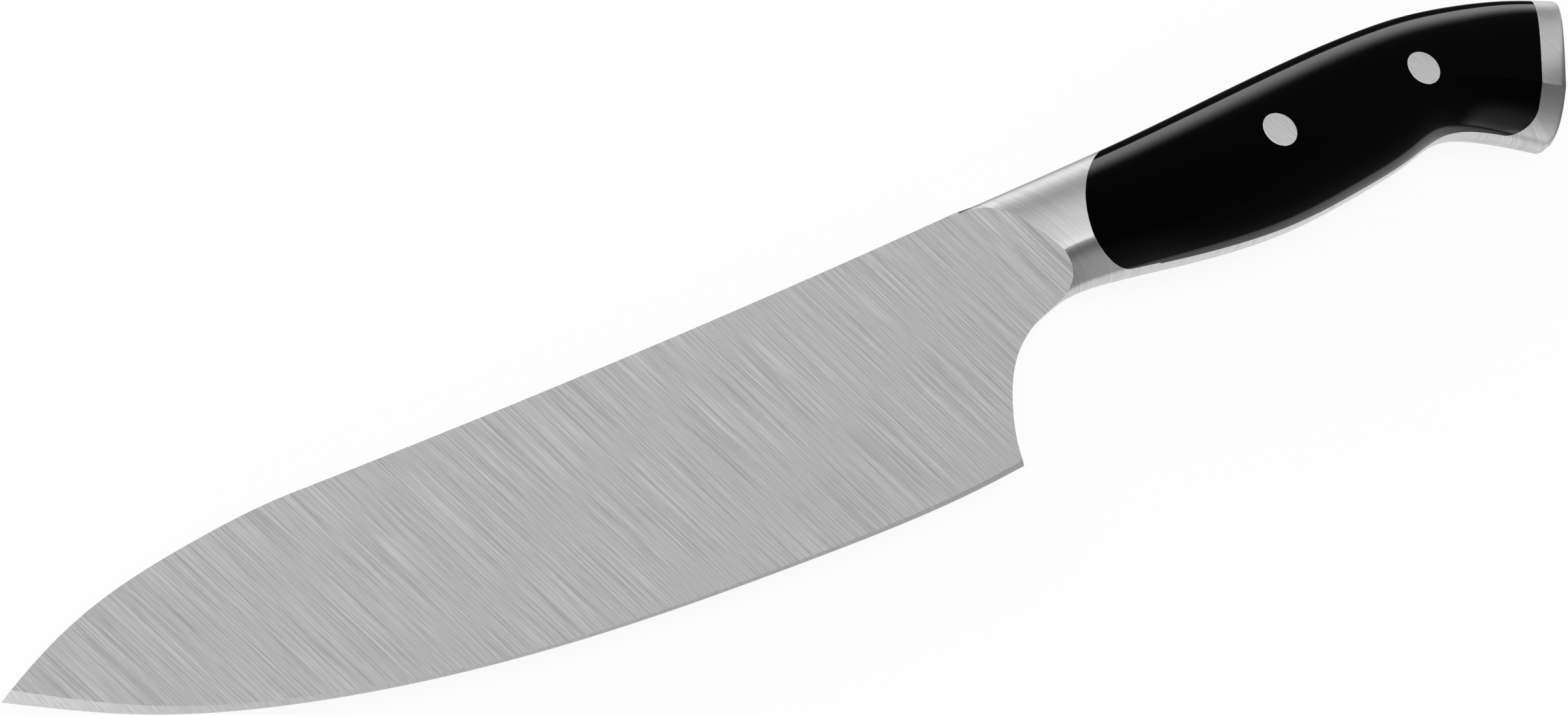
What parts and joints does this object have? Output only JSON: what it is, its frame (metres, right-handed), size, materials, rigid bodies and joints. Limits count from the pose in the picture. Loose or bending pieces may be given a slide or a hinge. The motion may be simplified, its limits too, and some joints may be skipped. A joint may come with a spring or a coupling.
{
  "type": "chef knife",
  "caption": "Forged kitchen knife with a wide curved blade, slant-ground bolster, full tang, riveted black handle scales and a steel butt cap.",
  "frame": {"origin": "centre of the whole knife's box, as it lies on its side", "axes": "+X runs from the point to the butt, +Y from the cutting edge to the spine, +Z out of the knife's left side, so z = 0 is its plane of symmetry"},
  "size_m": [0.3608, 0.05, 0.0178],
  "materials": {
    "blade_steel": "belt-ground satin, lines slanted across the blade; butt cap buffed",
    "scale_plastic": "moulded and buffed to a gloss with the tang",
    "rivet_steel": "ground flush with the scales, fine satin"
  },
  "bodies": {
    "root": {"blade_forging": "blade_steel", "left_scale": "scale_plastic", "right_scale": "scale_plastic", "front_rivet_tube": "rivet_steel", "front_rivet_stud": "rivet_steel", "rear_rivet_tube": "rivet_steel", "rear_rivet_stud": "rivet_steel"}
  },
  "joints": []
}
